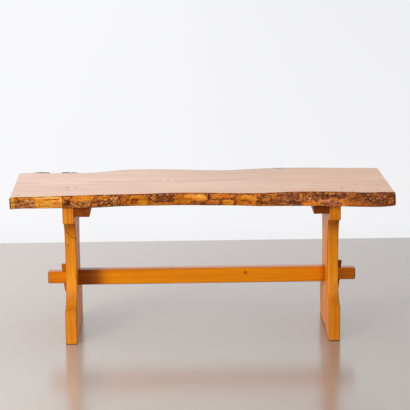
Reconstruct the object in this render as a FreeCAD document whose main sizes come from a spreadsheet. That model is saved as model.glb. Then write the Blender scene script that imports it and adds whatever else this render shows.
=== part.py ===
"""Live-edge slab bench: a waney plank seat on two waisted plank trestles, tied by a low rail
whose tenons pass through the trestles and are keyed outside them with tapered wedges.

Millimetres. +X runs along the seat, +Y from front to back, +Z up. The origin is on the floor,
under the middle of the seat.
"""
import FreeCAD, Part
import math
import os
import Sketcher

vector = FreeCAD.Vector
x_direction = vector(1, 0, 0)
y_direction = vector(0, 1, 0)
z_direction = vector(0, 0, 1)
quarter_turn = 90
half_turn = 180
full_turn = 360

doc = FreeCAD.newDocument("slab_bench")
sheet = doc.addObject("Spreadsheet::Sheet", "sizes")

driving_sizes = {
    # seat
    "seat_height": 439.0,
    "slab_length": 1085.0,
    "slab_depth": 372.0,
    "slab_thickness": 37.0,
    "slab_end_ease": 5.0,
    "slab_end_skew": 6.0,
    "slab_overhang": 148.5,
    # trestles
    "trestle_thickness": 32.0,
    "trestle_depth": 317.0,
    "trestle_forward": 7.0,
    "head_facet": 47.0,
    "left_foot_rise": 101.0,
    "right_foot_rise": 107.0,
    "waist_inset": 74.0,
    "waist_radius": 300.0,
    "waist_end_radius": 60.0,
    "foot_pad": 110.0,
    "foot_relief": 6.0,
    "arris_chamfer": 1.2,
    # battens under the seat
    "batten_width": 45.0,
    "batten_height": 28.0,
    "batten_setback": 2.0,
    "batten_round": 3.0,
    # rail and its through tenons
    "rail_rise": 140.0,
    "rail_height": 45.0,
    "rail_thickness": 28.0,
    "rail_round": 1.6,
    "tenon_height": 35.0,
    "tenon_thickness": 24.0,
    "tenon_reach": 58.0,
    "tenon_end_round": 4.0,
    "tenon_clearance": 0.2,
    # wedges
    "wedge_height": 82.0,
    "wedge_tip_width": 9.5,
    "wedge_head_width": 18.5,
    "wedge_thickness": 10.0,
    "wedge_clearance": 0.3,
    "wedge_below_tenon": 26.5,
    "wedge_mortise_set_in": 2.0,
    "wedge_chamfer": 1.5,
    # wood screws
    "screw_shank_radius": 2.3,
    "screw_head_radius": 4.5,
    "screw_head_height": 2.6,
    "screw_sink": 0.5,
    "screw_clearance": 0.1,
    "slab_screw_length": 50.0,
    "slab_screw_count": 3.0,
    "slab_screw_spacing": 110.0,
    "trestle_screw_length": 66.0,
    "trestle_screw_count": 2.0,
    "trestle_screw_spacing": 110.0,
    # overrun of a cut past the face it opens
    "overrun": 1.0,
}

for row, (alias, number) in enumerate(driving_sizes.items(), start=1):
    sheet.set("A%d" % row, alias)
    sheet.set("B%d" % row, str(number))
    sheet.setAlias("B%d" % row, alias)
doc.recompute()


class Size:
    """A length that knows both its number and the sheet formula that gives it."""

    def __init__(self, number, formula):
        self.number = number
        self.formula = formula

    def joined(self, other, sign, number):
        other_formula = other.formula if isinstance(other, Size) else repr(other)
        return Size(number, "(%s %s %s)" % (self.formula, sign, other_formula))

    def __add__(self, other):
        return self.joined(other, "+", self.number + number_of(other))

    def __sub__(self, other):
        return self.joined(other, "-", self.number - number_of(other))

    def __mul__(self, other):
        return self.joined(other, "*", self.number * number_of(other))

    def __truediv__(self, other):
        return self.joined(other, "/", self.number / number_of(other))

    def __neg__(self):
        return Size(-self.number, "(0 - %s)" % self.formula)


def number_of(length):
    return length.number if isinstance(length, Size) else length


def cell(alias):
    return Size(float(sheet.get(alias)), "sizes." + alias)


def bind(item, path, length):
    """Ties one property of an object to the sheet, or sets it where it is zero."""
    if isinstance(length, Size):
        item.setExpression(path, length.formula)


def place(item, corner, rotation=FreeCAD.Rotation()):
    """Puts an object at a corner given in sheet sizes."""
    item.Placement = FreeCAD.Placement(vector(*[number_of(length) for length in corner]), rotation)
    for axis, length in zip("xyz", corner):
        bind(item, "Placement.Base." + axis, length)


seat_height = cell("seat_height")
slab_length = cell("slab_length")
slab_depth = cell("slab_depth")
slab_thickness = cell("slab_thickness")
slab_end_ease = cell("slab_end_ease")
slab_end_skew = cell("slab_end_skew")
slab_overhang = cell("slab_overhang")
trestle_thickness = cell("trestle_thickness")
trestle_depth = cell("trestle_depth")
trestle_forward = cell("trestle_forward")
head_facet = cell("head_facet")
waist_inset = cell("waist_inset")
waist_radius = cell("waist_radius")
waist_end_radius = cell("waist_end_radius")
foot_pad = cell("foot_pad")
foot_relief = cell("foot_relief")
arris_chamfer = cell("arris_chamfer")
batten_width = cell("batten_width")
batten_height = cell("batten_height")
batten_setback = cell("batten_setback")
batten_round = cell("batten_round")
rail_rise = cell("rail_rise")
rail_height = cell("rail_height")
rail_thickness = cell("rail_thickness")
rail_round = cell("rail_round")
tenon_height = cell("tenon_height")
tenon_thickness = cell("tenon_thickness")
tenon_reach = cell("tenon_reach")
tenon_end_round = cell("tenon_end_round")
tenon_clearance = cell("tenon_clearance")
wedge_height = cell("wedge_height")
wedge_tip_width = cell("wedge_tip_width")
wedge_head_width = cell("wedge_head_width")
wedge_thickness = cell("wedge_thickness")
wedge_clearance = cell("wedge_clearance")
wedge_below_tenon = cell("wedge_below_tenon")
wedge_mortise_set_in = cell("wedge_mortise_set_in")
wedge_chamfer = cell("wedge_chamfer")
screw_shank_radius = cell("screw_shank_radius")
screw_head_radius = cell("screw_head_radius")
screw_head_height = cell("screw_head_height")
screw_sink = cell("screw_sink")
screw_clearance = cell("screw_clearance")
slab_screw_length = cell("slab_screw_length")
slab_screw_count = cell("slab_screw_count")
slab_screw_spacing = cell("slab_screw_spacing")
trestle_screw_length = cell("trestle_screw_length")
trestle_screw_count = cell("trestle_screw_count")
trestle_screw_spacing = cell("trestle_screw_spacing")
overrun = cell("overrun")

# heights and places that several pieces share
trestle_height = seat_height - slab_thickness
trestle_middle = -trestle_forward
outer_face = slab_length / 2 - slab_overhang
inner_face = outer_face - trestle_thickness
batten_length = trestle_depth - batten_setback * 2
batten_rise = trestle_height - batten_height
tenon_rise = rail_rise + (rail_height - tenon_height) / 2
wedge_tip_rise = tenon_rise - wedge_below_tenon
slab_screw_run = slab_screw_spacing * (slab_screw_count - 1)
trestle_screw_run = trestle_screw_spacing * (trestle_screw_count - 1)


def new_body(name):
    body = doc.addObject("PartDesign::Body", name)
    body.Label = name
    return body


def origin_feature(body, role):
    return next(item for item in body.Origin.OriginFeatures if item.Role == role)


def new_sketch(body, role, name, offset=(0, 0, 0), rotation=FreeCAD.Rotation()):
    """A sketch flat on one of the body's origin planes, moved by an offset in sheet sizes."""
    sketch = body.newObject("Sketcher::SketchObject", name)
    sketch.AttachmentSupport = (origin_feature(body, role), [""])
    sketch.MapMode = "FlatFace"
    numbers = [number_of(length) for length in offset]
    sketch.AttachmentOffset = FreeCAD.Placement(vector(*numbers), rotation)
    for axis, length in zip("xyz", offset):
        bind(sketch, "AttachmentOffset.Base." + axis, length)
    return sketch


def pin_point(sketch, edge, end, across, up):
    """Fixes a sketch point by its distances from the sketch's origin."""
    for kind, length, axis in (("DistanceX", across, -2), ("DistanceY", up, -1)):
        if isinstance(length, Size):
            constraint = Sketcher.Constraint(kind, -1, 1, edge, end, length.number)
            index = sketch.addConstraint(constraint)
            bind(sketch, "Constraints[%d]" % index, length)
        else:
            sketch.addConstraint(Sketcher.Constraint("PointOnObject", edge, end, axis))


def draw_polygon(sketch, corners):
    """A closed outline of straight edges, each corner pinned to sheet sizes."""
    points = [vector(number_of(across), number_of(up), 0) for across, up in corners]
    count = len(points)
    for index in range(count):
        sketch.addGeometry(Part.LineSegment(points[index], points[(index + 1) % count]))
    for index in range(count):
        sketch.addConstraint(Sketcher.Constraint("Coincident", index, 2, (index + 1) % count, 1))
    for index, (across, up) in enumerate(corners):
        pin_point(sketch, index, 1, across, up)


def new_pad(body, name, sketch, length, side="One side", back=False):
    pad = body.newObject("PartDesign::Pad", name)
    pad.Profile = sketch
    pad.Length = number_of(length)
    bind(pad, "Length", length)
    pad.SideType = side
    pad.Reversed = back
    return pad


def new_pocket(body, name, sketch, length, side="One side", back=False):
    pocket = body.newObject("PartDesign::Pocket", name)
    pocket.Profile = sketch
    pocket.Length = number_of(length)
    bind(pocket, "Length", length)
    pocket.SideType = side
    pocket.Reversed = back
    return pocket


def new_pattern(body, name, feature, role, run, count):
    pattern = body.newObject("PartDesign::LinearPattern", name)
    pattern.Originals = [feature]
    pattern.Direction = (origin_feature(body, role), [""])
    pattern.Length = run.number
    bind(pattern, "Length", run)
    pattern.Occurrences = int(count.number)
    bind(pattern, "Occurrences", count)
    body.Tip = pattern
    return pattern


def ease_edges(body, kind, name, size, wanted):
    """Chamfers or fillets those edges of the body so far that the test picks."""
    doc.recompute()
    base = body.Tip
    names = ["Edge%d" % (index + 1) for index, edge in enumerate(base.Shape.Edges) if wanted(edge)]
    feature = body.newObject("PartDesign::" + kind, name)
    feature.Base = (base, names)
    setting = "Size" if kind == "Chamfer" else "Radius"
    setattr(feature, setting, size.number)
    bind(feature, setting, size)
    body.Tip = feature
    return feature


def middle_of(edge):
    return edge.valueAt((edge.FirstParameter + edge.LastParameter) / 2)


def runs_along(edge, direction):
    """True for a straight edge that lies along a direction."""
    if not isinstance(edge.Curve, Part.Line):
        return False
    return abs(edge.Curve.Direction.dot(direction)) > math.cos(math.radians(1))


# screws: the hole's outline is the screw's with a clearance all round
def screw_outline(length):
    """Half section of a countersunk screw that points up its own axis, head at the origin."""
    return [
        (0, 0),
        (screw_head_radius, 0),
        (screw_shank_radius, screw_head_height),
        (screw_shank_radius, length),
        (0, length),
    ]


def hole_outline(length):
    """Half section of the hole that takes such a screw, open past the face it starts from."""
    mouth = -(screw_sink + overrun)
    head_radius = screw_head_radius + screw_clearance
    shank_radius = screw_shank_radius + screw_clearance
    return [
        (0, mouth),
        (head_radius, mouth),
        (head_radius, 0),
        (shank_radius, screw_head_height),
        (shank_radius, length + screw_clearance),
        (0, length + screw_clearance),
    ]


def screw_row(name, length, run, count, corner, rotation):
    """A row of equal screws, side by side along the seat's depth."""
    body = new_body(name)
    sketch = new_sketch(body, "XZ_Plane", name + "_section")
    draw_polygon(sketch, screw_outline(length))
    turned = body.newObject("PartDesign::Revolution", name + "_screw")
    turned.Profile = sketch
    turned.ReferenceAxis = (sketch, ["V_Axis"])
    turned.Angle = full_turn
    new_pattern(body, name + "_row", turned, "Y_Axis", run, count)
    place(body, corner, rotation)
    return body


def screw_holes(body, name, role, offset, rotation, length, run, count):
    """The holes for one row of screws, cut into a body."""
    sketch = new_sketch(body, role, name + "_section", offset, rotation)
    draw_polygon(sketch, hole_outline(length))
    hole = body.newObject("PartDesign::Groove", name + "_hole")
    hole.Profile = sketch
    hole.ReferenceAxis = (sketch, ["V_Axis"])
    hole.Angle = full_turn
    body.Tip = hole
    new_pattern(body, name + "_row", hole, "Y_Axis", run, count)


# trestles: waisted planks, alike but for how high each foot's face rises
def waist_arcs(rise):
    """Three tangent arcs of one waist, from the foot's face up to the head's face.

    They are given in the waist's own plane: across is how far in from the face, up is from the
    waist's middle. The long arc lies between two equal short ones.
    """
    half_height = (trestle_height - head_facet - rise).number / 2
    long_radius = waist_radius.number
    short_radius = waist_end_radius.number
    long_centre = waist_inset.number - long_radius
    centre_distance = long_radius - short_radius
    corner_distance = math.hypot(long_centre, half_height)
    corner_angle = math.atan2(half_height, -long_centre)
    cosine = corner_distance**2 + centre_distance**2 - short_radius**2
    cosine /= 2 * corner_distance * centre_distance
    meeting_angle = corner_angle - math.acos(cosine)
    short_across = long_centre + centre_distance * math.cos(meeting_angle)
    short_up = centre_distance * math.sin(meeting_angle)
    corner_turn = math.atan2(half_height - short_up, -short_across)
    return {
        "half_height": half_height,
        "long_centre": long_centre,
        "short_centre": (short_across, short_up),
        "meeting_angle": meeting_angle,
        "corner_turn": corner_turn,
    }


def arc(across, up, radius, first, last):
    circle = Part.Circle(vector(across, up, 0), z_direction, radius)
    return Part.ArcOfCircle(circle, first, last)


def draw_trestle(sketch, rise):
    """Outline of a trestle in its own plane, front to the left, standing on the sketch's X axis."""
    waist = waist_arcs(rise)
    depth = trestle_depth.number
    height = trestle_height.number
    shoulder = (trestle_height - head_facet).number
    foot = rise.number
    middle = foot + waist["half_height"]
    across, up = waist["short_centre"]
    turn = waist["meeting_angle"]
    corner = waist["corner_turn"]
    short_radius = waist_end_radius.number
    long_radius = waist_radius.number
    pad = foot_pad.number
    half_relief = depth / 2 - pad
    relief_radius = (half_relief**2 + foot_relief.number**2) / (2 * foot_relief.number)
    relief_angle = math.asin(half_relief / relief_radius)

    front = [
        Part.LineSegment(vector(0, 0, 0), vector(0, foot, 0)),
        arc(across, middle - up, short_radius, -corner, -turn),
        arc(waist["long_centre"], middle, long_radius, -turn, turn),
        arc(across, middle + up, short_radius, turn, corner),
        Part.LineSegment(vector(0, shoulder, 0), vector(0, height, 0)),
    ]
    back = [
        Part.LineSegment(vector(depth, height, 0), vector(depth, shoulder, 0)),
        arc(depth - across, middle + up, short_radius, math.pi - corner, math.pi - turn),
        arc(depth - waist["long_centre"], middle, long_radius, math.pi - turn, math.pi + turn),
        arc(depth - across, middle - up, short_radius, math.pi + turn, math.pi + corner),
        Part.LineSegment(vector(depth, foot, 0), vector(depth, 0, 0)),
    ]
    top = Part.LineSegment(vector(0, height, 0), vector(depth, height, 0))
    back_pad = Part.LineSegment(vector(depth, 0, 0), vector(depth - pad, 0, 0))
    relief_up = foot_relief.number - relief_radius
    upright = math.pi / 2
    relief = arc(depth / 2, relief_up, relief_radius, upright - relief_angle, upright + relief_angle)
    front_pad = Part.LineSegment(vector(pad, 0, 0), vector(0, 0, 0))

    # each edge with the numbers of its start and end along the outline
    chain = [(item, 1, 2) for item in front] + [(top, 1, 2)]
    chain += [(back[0], 1, 2)] + [(item, 1, 2) for item in back[1:4]] + [(back[4], 1, 2)]
    chain += [(back_pad, 1, 2), (relief, 1, 2), (front_pad, 1, 2)]
    for item, start, end in chain:
        sketch.addGeometry(item)
    foot_line, low_arc, long_arc, high_arc, head_line, top_line = range(6)
    back_head, back_high, back_long, back_low, back_foot = range(6, 11)
    back_pad_line, relief_arc, front_pad_line = range(11, 14)

    count = len(chain)
    smooth = {(low_arc, long_arc), (long_arc, high_arc), (back_high, back_long), (back_long, back_low)}
    for index in range(count):
        following = (index + 1) % count
        kind = "Tangent" if (index, following) in smooth else "Coincident"
        sketch.addConstraint(Sketcher.Constraint(kind, index, 2, following, 1))
    pin_point(sketch, foot_line, 1, 0, 0)
    pin_point(sketch, foot_line, 2, 0, rise)
    pin_point(sketch, head_line, 1, 0, trestle_height - head_facet)
    pin_point(sketch, head_line, 2, 0, trestle_height)
    pin_point(sketch, back_head, 1, trestle_depth, trestle_height)
    pin_point(sketch, back_head, 2, trestle_depth, trestle_height - head_facet)
    pin_point(sketch, back_foot, 1, trestle_depth, rise)
    pin_point(sketch, back_foot, 2, trestle_depth, 0)
    pin_point(sketch, relief_arc, 1, trestle_depth - foot_pad, 0)
    pin_point(sketch, relief_arc, 2, foot_pad, 0)
    for index, length in (
        (low_arc, waist_end_radius),
        (high_arc, waist_end_radius),
        (long_arc, waist_radius),
        (back_low, waist_end_radius),
        (back_high, waist_end_radius),
        (back_long, waist_radius),
    ):
        constraint = Sketcher.Constraint("Radius", index, length.number)
        bind(sketch, "Constraints[%d]" % sketch.addConstraint(constraint), length)
    relief_constraint = Sketcher.Constraint("Radius", relief_arc, relief_radius)
    half_gap = trestle_depth / 2 - foot_pad
    relief_size = (half_gap * half_gap + foot_relief * foot_relief) / (foot_relief * 2)
    bind(sketch, "Constraints[%d]" % sketch.addConstraint(relief_constraint), relief_size)


def trestle(name, rise, corner, rotation):
    """One end frame. Its own X runs from the outer face to the inner face."""
    body = new_body(name)
    outline = new_sketch(body, "YZ_Plane", name + "_outline")
    draw_trestle(outline, rise)
    new_pad(body, name + "_plank", outline, trestle_thickness)

    mortise = new_sketch(body, "YZ_Plane", name + "_mortise_outline")
    side = trestle_depth / 2 - tenon_thickness / 2 - tenon_clearance
    far_side = trestle_depth / 2 + tenon_thickness / 2 + tenon_clearance
    low = tenon_rise - tenon_clearance
    high = tenon_rise + tenon_height + tenon_clearance
    draw_polygon(mortise, [(side, low), (far_side, low), (far_side, high), (side, high)])

    def outer_arris(edge):
        box = edge.BoundBox
        return box.XLength < overrun.number and box.ZMin < batten_rise.number

    ease_edges(body, "Chamfer", name + "_arrises", arris_chamfer, outer_arris)
    body.Tip = new_pocket(body, name + "_mortise", mortise, trestle_thickness + overrun, back=True)
    screw_holes(
        body,
        name + "_batten_screws",
        "XY_Plane",
        (
            trestle_thickness + batten_width - screw_sink,
            trestle_depth / 2 - trestle_screw_run / 2,
            batten_rise + batten_height / 2,
        ),
        FreeCAD.Rotation(z_direction, quarter_turn),
        trestle_screw_length,
        trestle_screw_run,
        trestle_screw_count,
    )
    place(body, corner, rotation)
    return body


# battens: square bars that tie the seat to the trestles
def batten(name, corner, rotation):
    """One batten. Its own X runs from the trestle's face inwards."""
    body = new_body(name)
    section = new_sketch(body, "XZ_Plane", name + "_section")
    corners = [(0, 0), (batten_width, 0), (batten_width, batten_height), (0, batten_height)]
    draw_polygon(section, corners)
    new_pad(body, name + "_bar", section, batten_length, back=True)

    def low_inner_arris(edge):
        middle = middle_of(edge)
        low = middle.z < screw_sink.number
        inner = middle.x > batten_width.number - screw_sink.number
        return low and inner and runs_along(edge, y_direction)

    ease_edges(body, "Fillet", name + "_arris", batten_round, low_inner_arris)
    screw_holes(
        body,
        name + "_slab_screws",
        "XZ_Plane",
        (batten_width / 2, screw_sink, -(batten_length / 2 - slab_screw_run / 2)),
        FreeCAD.Rotation(),
        slab_screw_length,
        slab_screw_run,
        slab_screw_count,
    )
    screw_holes(
        body,
        name + "_trestle_screws",
        "XY_Plane",
        (batten_width - screw_sink, batten_length / 2 - trestle_screw_run / 2, batten_height / 2),
        FreeCAD.Rotation(z_direction, quarter_turn),
        trestle_screw_length,
        trestle_screw_run,
        trestle_screw_count,
    )
    place(body, corner, rotation)
    return body


# wedges stand against the trestles' outer faces, so their slope and the mortises' slope are one
wedge_slope = (wedge_head_width - wedge_tip_width) / wedge_height
wedge_width_at_tenon_foot = wedge_tip_width + wedge_slope * wedge_below_tenon
wedge_width_at_tenon_top = wedge_width_at_tenon_foot + wedge_slope * tenon_height


def wedge(name, corner, rotation):
    """One tapered key. Its own X runs outwards from the trestle's outer face."""
    body = new_body(name)
    outline = new_sketch(body, "XZ_Plane", name + "_outline")
    corners = [(0, 0), (wedge_tip_width, 0), (wedge_head_width, wedge_height), (0, wedge_height)]
    draw_polygon(outline, corners)
    new_pad(body, name + "_key", outline, wedge_thickness, side="Symmetric")

    def end_arris(edge):
        middle = middle_of(edge)
        away = middle.x > wedge_tip_width.number / 2
        at_end = edge.BoundBox.ZLength < overrun.number
        return at_end and away and runs_along(edge, y_direction)

    ease_edges(body, "Chamfer", name + "_corners", wedge_chamfer, end_arris)
    place(body, corner, rotation)
    return body


# rail: a shouldered bar with a long tenon at each end, each tenon pierced for its wedge
def stretcher_rail():
    body = new_body("stretcher_rail")
    section = new_sketch(body, "YZ_Plane", "rail_section")
    corners = [(0, 0), (rail_thickness, 0), (rail_thickness, rail_height), (0, rail_height)]
    draw_polygon(section, corners)
    new_pad(body, "rail_bar", section, inner_face * 2, side="Symmetric")

    def long_arris(edge):
        return runs_along(edge, x_direction)

    ease_edges(body, "Fillet", "rail_arrises", rail_round, long_arris)

    shoulder = (rail_height - tenon_height) / 2
    cheek = (rail_thickness - tenon_thickness) / 2
    tenon_section = new_sketch(body, "YZ_Plane", "tenon_section")
    low, high = shoulder, shoulder + tenon_height
    near, far = cheek, cheek + tenon_thickness
    draw_polygon(tenon_section, [(near, low), (far, low), (far, high), (near, high)])
    tenon_run = (outer_face + tenon_reach) * 2
    body.Tip = new_pad(body, "rail_tenons", tenon_section, tenon_run, side="Symmetric")

    def tenon_end_arris(edge):
        at_end = abs(middle_of(edge).x) > (outer_face + tenon_reach / 2).number
        return at_end and runs_along(edge, y_direction)

    ease_edges(body, "Fillet", "tenon_ends", tenon_end_round, tenon_end_arris)

    face = outer_face - wedge_mortise_set_in
    foot_side = outer_face + wedge_width_at_tenon_foot - wedge_slope * overrun
    top_side = outer_face + wedge_width_at_tenon_top + wedge_slope * overrun
    width = wedge_thickness + wedge_clearance * 2
    below = low - overrun
    above = high + overrun
    offset = (0, 0, -(rail_thickness / 2))
    for side, sign in (("left", -1), ("right", 1)):
        outline = new_sketch(body, "XZ_Plane", side + "_wedge_mortise_outline", offset)
        corners = [(face, below), (foot_side, below), (top_side, above), (face, above)]
        draw_polygon(outline, [(across * sign, up) for across, up in corners])
        name = side + "_wedge_mortise"
        body.Tip = new_pocket(body, name, outline, width, side="Symmetric")
    place(body, (0, trestle_middle - rail_thickness / 2, rail_rise))
    return body


# seat: stations along the plank, as shares of half its length, and the wandering of its two bark
# edges there, as shares of its depth; a positive share is towards the back
station_shares = (
    -1.02, -0.985, -0.94, -0.89, -0.81, -0.735, -0.66, -0.54, -0.43, -0.31, -0.19, -0.08,
    0.03, 0.16, 0.30, 0.46, 0.62, 0.77, 0.875, 0.93, 0.98, 1.02,
)
front_top_shares = (
    -0.045, -0.011, 0.007, 0.005, 0.013, 0.028, 0.034, 0.052, 0.059, 0.068, 0.085, 0.090,
    0.075, 0.050, 0.036, 0.070, 0.066, 0.032, 0.003, 0.012, 0.003, 0.040,
)
front_belly_shares = (
    -0.012, -0.014, -0.014, -0.012, -0.010, -0.014, -0.018, -0.012, -0.020, -0.012, -0.016, -0.010,
    -0.018, -0.012, -0.020, -0.014, -0.010, -0.016, -0.012, -0.014, -0.012, -0.010,
)
front_bottom_shares = (
    0.018, 0.036, 0.053, 0.054, 0.050, 0.050, 0.051, 0.056, 0.090, 0.098, 0.103, 0.102,
    0.084, 0.068, 0.028, 0.020, -0.004, -0.036, -0.057, -0.060, -0.036, 0.010,
)
back_top_shares = (
    -0.012, -0.009, -0.004, -0.009, -0.019, -0.027, -0.032, 0.008, 0.082, 0.098, 0.084, 0.060,
    0.026, 0.011, 0.054, 0.084, 0.077, 0.050, 0.035, 0.031, 0.012, -0.010,
)
back_belly_shares = (
    0.010, 0.013, 0.016, 0.018, 0.022, 0.020, 0.018, 0.012, 0.008, 0.006, 0.010, 0.014,
    0.018, 0.014, 0.010, 0.008, 0.012, 0.016, 0.012, 0.014, 0.013, 0.010,
)
back_bottom_shares = (
    -0.026, -0.024, -0.020, -0.024, -0.030, -0.036, -0.040, -0.020, 0.040, 0.066, 0.050, 0.030,
    0.000, -0.012, 0.026, 0.050, 0.044, 0.020, 0.004, -0.002, -0.010, -0.020,
)
level_shares = (0.0, 0.07, 0.3, 0.6, 0.86, 0.97, 1.0)


def seat_edge(level, side):
    """Points of one bark edge at a level of the plank, from left to right."""
    top_shares, belly_shares, bottom_shares, line = {
        "front": (front_top_shares, front_belly_shares, front_bottom_shares, -slab_depth.number / 2),
        "back": (back_top_shares, back_belly_shares, back_bottom_shares, slab_depth.number / 2),
    }[side]
    points = []
    for station, top, belly, bottom in zip(station_shares, top_shares, belly_shares, bottom_shares):
        share = bottom * (1 - level) + top * level + belly * 4 * level * (1 - level)
        along = station * slab_length.number / 2
        points.append(vector(along, line + share * slab_depth.number, level * slab_thickness.number))
    return points


def seat_section(level):
    """The plank's outline at one level."""
    front = seat_edge(level, "front")
    back = list(reversed(seat_edge(level, "back")))
    front_curve = Part.BSplineCurve()
    front_curve.interpolate(front)
    back_curve = Part.BSplineCurve()
    back_curve.interpolate(back)
    edges = [
        front_curve.toShape(),
        Part.makeLine(front[-1], back[0]),
        back_curve.toShape(),
        Part.makeLine(back[-1], front[0]),
    ]
    return Part.Wire(edges)


def revolved_outline(corners):
    points = [vector(number_of(across), 0, number_of(up)) for across, up in corners]
    face = Part.Face(Part.makePolygon(points + points[:1]))
    return face.revolve(vector(0, 0, 0), z_direction, full_turn)


def slab_top():
    """The waney plank: lofted through its sections, sawn to length a little out of square, eased at
    its ends and bored from below for the batten screws."""
    half = slab_length.number / 2
    depth = slab_depth.number
    skew = slab_end_skew.number
    thickness = slab_thickness.number
    rough = Part.makeLoft([seat_section(level) for level in level_shares], True, True)
    low = -thickness / 2
    saw_cuts = [
        vector(skew - half, -depth, low),
        vector(skew + half, -depth, low),
        vector(half - skew, depth, low),
        vector(-half - skew, depth, low),
    ]
    between_cuts = Part.Face(Part.makePolygon(saw_cuts + saw_cuts[:1]))
    plank = rough.common(between_cuts.extrude(z_direction * thickness * 2))

    def top_end_arris(edge):
        box = edge.BoundBox
        return box.ZMin > thickness - overrun.number and box.YLength > box.XLength * 2

    ends = [edge for edge in plank.Edges if top_end_arris(edge)]
    plank = plank.makeFillet(slab_end_ease.number, ends)
    bounds = plank.optimalBoundingBox()
    plank.translate(vector(0, -(bounds.YMin + bounds.YMax) / 2, 0))

    hole = revolved_outline(hole_outline(slab_screw_length))
    holes = []
    for side in (-1, 1):
        for index in range(int(slab_screw_count.number)):
            across = side * (inner_face - batten_width / 2).number
            along = (trestle_middle - slab_screw_run / 2 + slab_screw_spacing * index).number
            holes.append(hole.translated(vector(across, along, (screw_sink - batten_height).number)))
    feature = doc.addObject("Part::Feature", "slab_top")
    feature.Label = "slab_top"
    feature.Shape = plank.cut(holes)
    place(feature, (0, 0, trestle_height))
    return feature


turned_about = FreeCAD.Rotation(z_direction, half_turn)
straight = FreeCAD.Rotation()
to_the_left = FreeCAD.Rotation(y_direction, -quarter_turn)
to_the_right = FreeCAD.Rotation(y_direction, quarter_turn)

front_of_trestles = trestle_middle - trestle_depth / 2
back_of_trestles = trestle_middle + trestle_depth / 2
front_of_battens = trestle_middle - batten_length / 2
back_of_battens = trestle_middle + batten_length / 2

left_rise = cell("left_foot_rise")
right_rise = cell("right_foot_rise")
slab_screw_front = trestle_middle - slab_screw_run / 2
trestle_screw_front = trestle_middle - trestle_screw_run / 2
slab_screw_line = inner_face - batten_width / 2
trestle_screw_line = batten_rise + batten_height / 2
trestle_screw_start = inner_face - batten_width + screw_sink

pieces = [
    slab_top(),
    trestle("left_trestle", left_rise, (-outer_face, front_of_trestles, 0), straight),
    trestle("right_trestle", right_rise, (outer_face, back_of_trestles, 0), turned_about),
    batten("left_batten", (-inner_face, front_of_battens, batten_rise), straight),
    batten("right_batten", (inner_face, back_of_battens, batten_rise), turned_about),
    stretcher_rail(),
    wedge("left_wedge", (-outer_face, trestle_middle, wedge_tip_rise), turned_about),
    wedge("right_wedge", (outer_face, trestle_middle, wedge_tip_rise), straight),
]
for side, sign, pointing in (("left", -1, to_the_left), ("right", 1, to_the_right)):
    slab_row = (slab_screw_line * sign, slab_screw_front, batten_rise + screw_sink)
    pieces.append(
        screw_row(
            side + "_batten_slab_screws",
            slab_screw_length,
            slab_screw_run,
            slab_screw_count,
            slab_row,
            straight,
        )
    )
    trestle_row = (trestle_screw_start * sign, trestle_screw_front, trestle_screw_line)
    pieces.append(
        screw_row(
            side + "_batten_trestle_screws",
            trestle_screw_length,
            trestle_screw_run,
            trestle_screw_count,
            trestle_row,
            pointing,
        )
    )

doc.recompute()

faults = []
for item in doc.Objects:
    if "Invalid" in item.State or "Error" in item.State:
        faults.append("%s is %s" % (item.Name, item.State))
for piece in pieces:
    if piece.Shape.isNull() or not piece.Shape.isValid():
        faults.append("%s has no valid shape" % piece.Label)
if faults:
    raise RuntimeError("; ".join(faults))

os.makedirs("parts", exist_ok=True)
for piece in pieces:
    piece.Shape.exportStep("parts/%s.step" % piece.Label)
    box = piece.Shape.BoundBox
    print(
        "%-28s solids %d  volume %.1f cm3  x %.1f..%.1f  y %.1f..%.1f  z %.1f..%.1f"
        % (
            piece.Label,
            len(piece.Shape.Solids),
            piece.Shape.Volume / 1000,
            box.XMin,
            box.XMax,
            box.YMin,
            box.YMax,
            box.ZMin,
            box.ZMax,
        )
    )
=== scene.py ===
import math

import bmesh
import bpy
from mathutils import Matrix, Vector, noise
from mathutils.bvhtree import BVHTree


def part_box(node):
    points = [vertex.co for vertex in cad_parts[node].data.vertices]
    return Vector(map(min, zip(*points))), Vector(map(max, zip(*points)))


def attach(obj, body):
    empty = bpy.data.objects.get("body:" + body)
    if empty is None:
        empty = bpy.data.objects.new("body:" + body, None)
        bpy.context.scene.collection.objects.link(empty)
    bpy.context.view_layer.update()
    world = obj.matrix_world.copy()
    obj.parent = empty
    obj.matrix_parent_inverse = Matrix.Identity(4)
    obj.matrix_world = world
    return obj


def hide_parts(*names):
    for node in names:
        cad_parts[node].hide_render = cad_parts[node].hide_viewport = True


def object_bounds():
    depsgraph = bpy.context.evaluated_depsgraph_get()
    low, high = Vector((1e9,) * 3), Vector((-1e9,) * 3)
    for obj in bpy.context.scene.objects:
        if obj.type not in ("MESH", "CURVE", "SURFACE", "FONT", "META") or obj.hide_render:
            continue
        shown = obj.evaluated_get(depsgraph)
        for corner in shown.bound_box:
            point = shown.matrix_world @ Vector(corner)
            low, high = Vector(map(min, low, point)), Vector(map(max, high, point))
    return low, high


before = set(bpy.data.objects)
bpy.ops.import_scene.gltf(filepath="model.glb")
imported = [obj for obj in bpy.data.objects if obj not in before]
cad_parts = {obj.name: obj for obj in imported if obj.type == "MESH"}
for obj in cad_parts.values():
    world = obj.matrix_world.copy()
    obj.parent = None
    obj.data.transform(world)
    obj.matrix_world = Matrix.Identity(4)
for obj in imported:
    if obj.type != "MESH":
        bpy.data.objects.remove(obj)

cad_low, cad_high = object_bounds()

scene = bpy.context.scene
MM = 0.001
X_AXIS = Vector((1, 0, 0))
Z_AXIS = Vector((0, 0, 1))


def srgb(red, green, blue):
    """A colour given in the 0 to 255 steps of a screen, as Blender's linear colour."""
    def linear(step):
        share = step / 255
        return share / 12.92 if share <= 0.04045 else ((share + 0.055) / 1.055) ** 2.4
    return (linear(red), linear(green), linear(blue), 1.0)


def smooth(low, high, value):
    share = min(1.0, max(0.0, (value - low) / (high - low)))
    return share * share * (3 - 2 * share)


def blend(first, second, share):
    return first + (second - first) * share


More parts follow.
